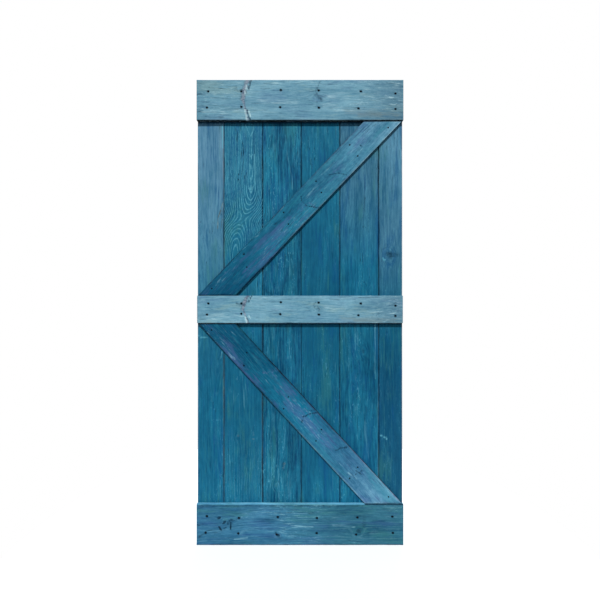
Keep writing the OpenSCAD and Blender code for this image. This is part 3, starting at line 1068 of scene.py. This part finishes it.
pine = {
    "rings": 190,                # growth rings in a metre
    "mottleShift": 0.7,          # how far mottle and cloud shift them, in rings
    "cloudShift": 2.2,
    "dark": 0.9,                 # how strongly each kind of mark shows
    "scar": 0.8,
    "pale": 0.65,
    "aged": 0.65,
    "chip": 0.25,                # how bare the arrises are rubbed
    "arris": 0.6,                # how far a chip reaches from an arris
    "streakPatch": 0.5,          # how streaky the green and blue patches are
    "knotRings": 2.6,            # rings in a knot, and how far blots push them
    "knotBlot": 0.8,
    "knotDepth": (0.55, -0.2, 0.2),    # a knot's darkness, and what its core and its rings add to it
    "height": (0.4, 0.6, 0.6),   # how much rings, fibre and streaks stand up
    "bump": 0.7,
    "bumpHeight": 0.0006,        # in metres
    "glossStreak": -0.25,        # how much smoother the streaks are
    "roughBetween": 0.12,        # and how much rougher than its own value a finish is between them
    "shine": 0.05,
}
# noises in the grain: scale across and along it, detail, roughness and start
noises = {
    "fibre": (320, 15, 4, 0.65, 0),
    "streak": (140, 6, 5, 0.62, 0),
    "cloud": (17, 2.6, 3, 0.5, 7),
    "mottle": (75, 24, 5, 0.65, 5),
    "blot": (110, 60, 5, 0.7, 11),
    "paleFleck": (150, 1, 5, 0.65, 3),
    "darkFleck": (190, 10, 4, 0.6, 23),
    "drift": (15, 3.4, 5, 0.6, 31),
    "speck": (240, 70, 2, 0.5, 43),
    "check": (75, 1.6, 2, 0.5, 19),
}
# the value at which each noise or mark starts to show, and the one at which it shows fully
shows = {
    "summerWood": (0.58, 0.8), "ringEnd": (0.85, 1), "ringBlot": (0.3, 0.6), "swing": (0.36, 0.64),
    "green": (0.53, 0.68), "blue": (0.47, 0.32), "paleFleck": (0.55, 0.72), "paleCloud": (0.42, 0.6),
    "speck": (0.61, 0.72), "speckCloud": (0.46, 0.6), "darkFleck": (0.54, 0.7), "darkStreak": (0.6, 0.4),
    "aged": (0.2, 1.0), "dark": (0.25, 1.0), "scar": (0.25, 0.9), "scarMottle": (0.42, 0.6),
    "pale": (0.2, 1.0), "chip": (0.6, 0.95), "blackStainAndShade": (1.0, 1.25), "knot": (0.15, 0.9),
    "knotCore": (0.55, 0.95), "check": (0.002, 0.009), "checkCloud": (0.5, 0.62),
}
# how far a noise breaks up each kind of mark
breakUp = {"aged": 1.2, "dark": 1.4, "scar": 2, "pale": 1.8, "chip": 2.4, "knot": 1.8}


def lateWood(tree, grain, figure, noise):
    # growth rings round the pith, with hard summer wood as a thin line at the end of each
    flat = put(tree, "VectorMath", {0: grain, 1: (1, 1, 0)}, operation="MULTIPLY").outputs[0]
    radius = put(tree, "VectorMath", {0: flat}, operation="LENGTH").outputs["Value"]
    shift = sums(tree, "MULTIPLY", noise["cloud"], pine["cloudShift"])
    shift = sums(tree, "MULTIPLY_ADD", noise["mottle"], pine["mottleShift"], shift)
    ring = sums(tree, "FRACT", sums(tree, "MULTIPLY_ADD", radius, pine["rings"], shift))
    late = sums(tree, "SUBTRACT", 1, between(tree, ring, *shows["ringEnd"]))
    late = sums(tree, "MULTIPLY", between(tree, ring, *shows["summerWood"]), late)
    late = sums(tree, "MULTIPLY", late, figure)
    return sums(tree, "MULTIPLY", late, between(tree, noise["blot"], *shows["ringBlot"]))


def toned(tree, stain, brushed, finish, noise):
    # the stain, made lighter or darker by tone, which runs from nothing to full
    tone = sums(tree, "MULTIPLY", offMiddle(tree, noise["fibre"]), finish["fibre"])
    for name in ("streak", "cloud", "mottle"):
        swing = offMiddle(tree, between(tree, noise[name], *shows["swing"]))
        tone = sums(tree, "MULTIPLY_ADD", swing, finish[name], tone)
    tone = put(tree, "Clamp", {0: sums(tree, "MULTIPLY_ADD", tone, brushed, 0.5)}).outputs[0]
    gain = blended(tree, (*finish["dark"], 1), (*finish["light"], 1), tone)
    return blended(tree, stain, gain, 1, blend_type="MULTIPLY")


def knotted(tree, colour, knotMark, finish, blot):
    # knots: a dark rim, and fine rings inside
    darkness, atCore, atRing = pine["knotDepth"]
    knotRing = sums(tree, "MULTIPLY", blot, pine["knotBlot"])
    knotRing = sums(tree, "FRACT", sums(tree, "MULTIPLY_ADD", knotMark, pine["knotRings"], knotRing))
    core = between(tree, knotMark, *shows["knotCore"])
    core = sums(tree, "MULTIPLY_ADD", core, atCore, darkness)
    core = sums(tree, "MULTIPLY_ADD", knotRing, atRing, core)
    return tinted(tree, colour, finish["knot"], broken(tree, knotMark, blot, "knot"), core)


def bumps(tree, late, hairline, noise):
    ofRings, ofFibre, ofStreak = pine["height"]
    height = sums(tree, "MULTIPLY", noise["fibre"], ofFibre)
    height = sums(tree, "MULTIPLY_ADD", late, ofRings, height)
    height = sums(tree, "MULTIPLY_ADD", noise["streak"], ofStreak, height)
    height = sums(tree, "SUBTRACT", height, hairline)
    sockets = {"Height": height, "Strength": pine["bump"], "Distance": pine["bumpHeight"]}
    return put(tree, "Bump", sockets).outputs[0]


def stainedPine(name, finish):
    material = bpy.data.materials.new(name)
    material.use_nodes = True
    tree = material.node_tree
    shader = tree.nodes["Principled BSDF"]
    grain = put(tree, "Attribute", {}, attribute_name="grain").outputs["Vector"]
    painted = put(tree, "Attribute", {}, attribute_name="stain")
    stain, onArris = painted.outputs["Color"], painted.outputs["Alpha"]
    figure, brushed, agedMark = (put(tree, "Attribute", {}, attribute_name=name).outputs["Fac"]
                                 for name in ("figure", "brushed", "aged"))
    marks = put(tree, "Attribute", {}, attribute_name="marks")
    scarMark, darkMarkAndShade, paleMark = put(tree, "SeparateColor", {0: marks.outputs["Color"]}).outputs
    knotMark = marks.outputs["Alpha"]

    paces = {"streak": finish["pace"], "mottle": finish["pace"], "paleFleck": finish["fleckPace"]}
    noise = {name: stretched(tree, grain, name, paces.get(name, 1)) for name in noises}
    streak, cloud, mottle, blot = (noise[name] for name in ("streak", "cloud", "mottle", "blot"))

    late = lateWood(tree, grain, figure, noise)
    colour = toned(tree, stain, brushed, finish, noise)

    # greener, bluer and greyed patches
    patch = sums(tree, "MULTIPLY_ADD", offMiddle(tree, streak), pine["streakPatch"], noise["drift"])
    for name in ("green", "blue"):
        code, amount = finish[name]
        colour = tinted(tree, colour, code, between(tree, patch, *shows[name]), amount)
    greyed = broken(tree, agedMark, streak, "aged")
    colour = tinted(tree, colour, finish["aged"], greyed, pine["aged"])

    # flecks and specks along the grain where pigment is rubbed off or has gathered, and late wood
    flecks = put(tree, "Clamp", {0: sums(tree, "MULTIPLY", brushed, finish["flecks"])}).outputs[0]
    bare = between(tree, noise["paleFleck"], *shows["paleFleck"])
    colour = tinted(tree, colour, finish["pale"], bare, between(tree, cloud, *shows["paleCloud"]), flecks)
    colour = tinted(tree, colour, finish["pale"], late, finish["rings"])
    speck = between(tree, noise["speck"], *shows["speck"])
    inCloud = between(tree, cloud, *shows["speckCloud"])
    colour = tinted(tree, colour, finish["pale"], speck, brushed, inCloud, finish["specks"])
    gathered = between(tree, noise["darkFleck"], *shows["darkFleck"])
    inStreak = between(tree, streak, *shows["darkStreak"])
    colour = tinted(tree, colour, finish["deep"], gathered, inStreak, flecks)

    # marks, with painted shade under the rails among the dark ones, and chips along the arrises
    colour = tinted(tree, colour, finish["knot"], broken(tree, darkMarkAndShade, blot, "dark"), pine["dark"])
    mottled = between(tree, mottle, *shows["scarMottle"])
    scarStain = tinted(tree, linear(finish["scar"]), finish["scarPale"], mottled)
    colour = tinted(tree, colour, scarStain, broken(tree, scarMark, blot, "scar"), pine["scar"])
    rubbed = broken(tree, paleMark, noise["paleFleck"], "pale")
    colour = tinted(tree, colour, finish["pale"], rubbed, pine["pale"])
    chipped = broken(tree, sums(tree, "MULTIPLY", onArris, pine["arris"]), blot, "chip")
    colour = tinted(tree, colour, finish["chip"], chipped, pine["chip"])
    # painted shade: near black where the dark marks run past full strength, as right under the rails; also
    # the darkest stain round nails and knots
    colour = tinted(tree, colour, "blackStainAndShade", between(tree, darkMarkAndShade, *shows["blackStainAndShade"]))

    colour = knotted(tree, colour, knotMark, finish, blot)

    # drying checks: dark hairlines along the grain
    away = sums(tree, "ABSOLUTE", offMiddle(tree, noise["check"]))
    hairline = sums(tree, "SUBTRACT", 1, between(tree, away, *shows["check"]))
    hairline = sums(tree, "MULTIPLY", hairline, between(tree, cloud, *shows["checkCloud"]))
    colour = tinted(tree, colour, finish["deep"], hairline, finish["checks"])

    rough = sums(tree, "MULTIPLY_ADD", streak, pine["glossStreak"], finish["rough"] + pine["roughBetween"])
    tree.links.new(colour, shader.inputs["Base Color"])
    tree.links.new(rough, shader.inputs["Roughness"])
    tree.links.new(bumps(tree, late, hairline, noise), shader.inputs["Normal"])
    shader.inputs["Specular IOR Level"].default_value = pine["shine"]
    return material


def dress(piece, material):
    piece.data.materials.clear()
    piece.data.materials.append(material)


for name, finish in finishes.items():
    material = stainedPine(name, finish)
    for node in finish["nodes"]:
        piece = wood[node]["piece"]
        dress(piece, material)
        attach(piece, "root")
        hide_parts(node)

nailFinish = {
    "dark": "#000206", "worn": "#04090f", "speckles": 900,
    "wornFrom": 0.52, "wornFully": 0.75,     # speckle at which the worn tint starts, and is full
    "rough": 0.55, "roughSwing": 0.3, "bump": 0.5, "bumpHeight": 0.0002, "shine": 0.06,
}


def blackenedSteel():
    material = bpy.data.materials.new("blackenedSteel")
    material.use_nodes = True
    tree = material.node_tree
    shader = tree.nodes["Principled BSDF"]
    place = put(tree, "TexCoord", {}).outputs["Object"]
    sockets = {"Vector": place, "Scale": nailFinish["speckles"], "Detail": 4}
    speckle = put(tree, "TexNoise", sockets).outputs["Fac"]
    worn = between(tree, speckle, nailFinish["wornFrom"], nailFinish["wornFully"])
    colour = tinted(tree, linear(nailFinish["dark"]), nailFinish["worn"], worn)
    tree.links.new(colour, shader.inputs["Base Color"])
    rough = sums(tree, "MULTIPLY_ADD", speckle, nailFinish["roughSwing"], nailFinish["rough"])
    tree.links.new(rough, shader.inputs["Roughness"])
    sockets = {"Height": speckle, "Strength": nailFinish["bump"], "Distance": nailFinish["bumpHeight"]}
    bump = put(tree, "Bump", sockets)
    tree.links.new(bump.outputs[0], shader.inputs["Normal"])
    shader.inputs["Specular IOR Level"].default_value = nailFinish["shine"]
    return material


steel = blackenedSteel()
for node in nailNodes.values():
    dress(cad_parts[node], steel)
print("finishes on")


# end

print("scene built")
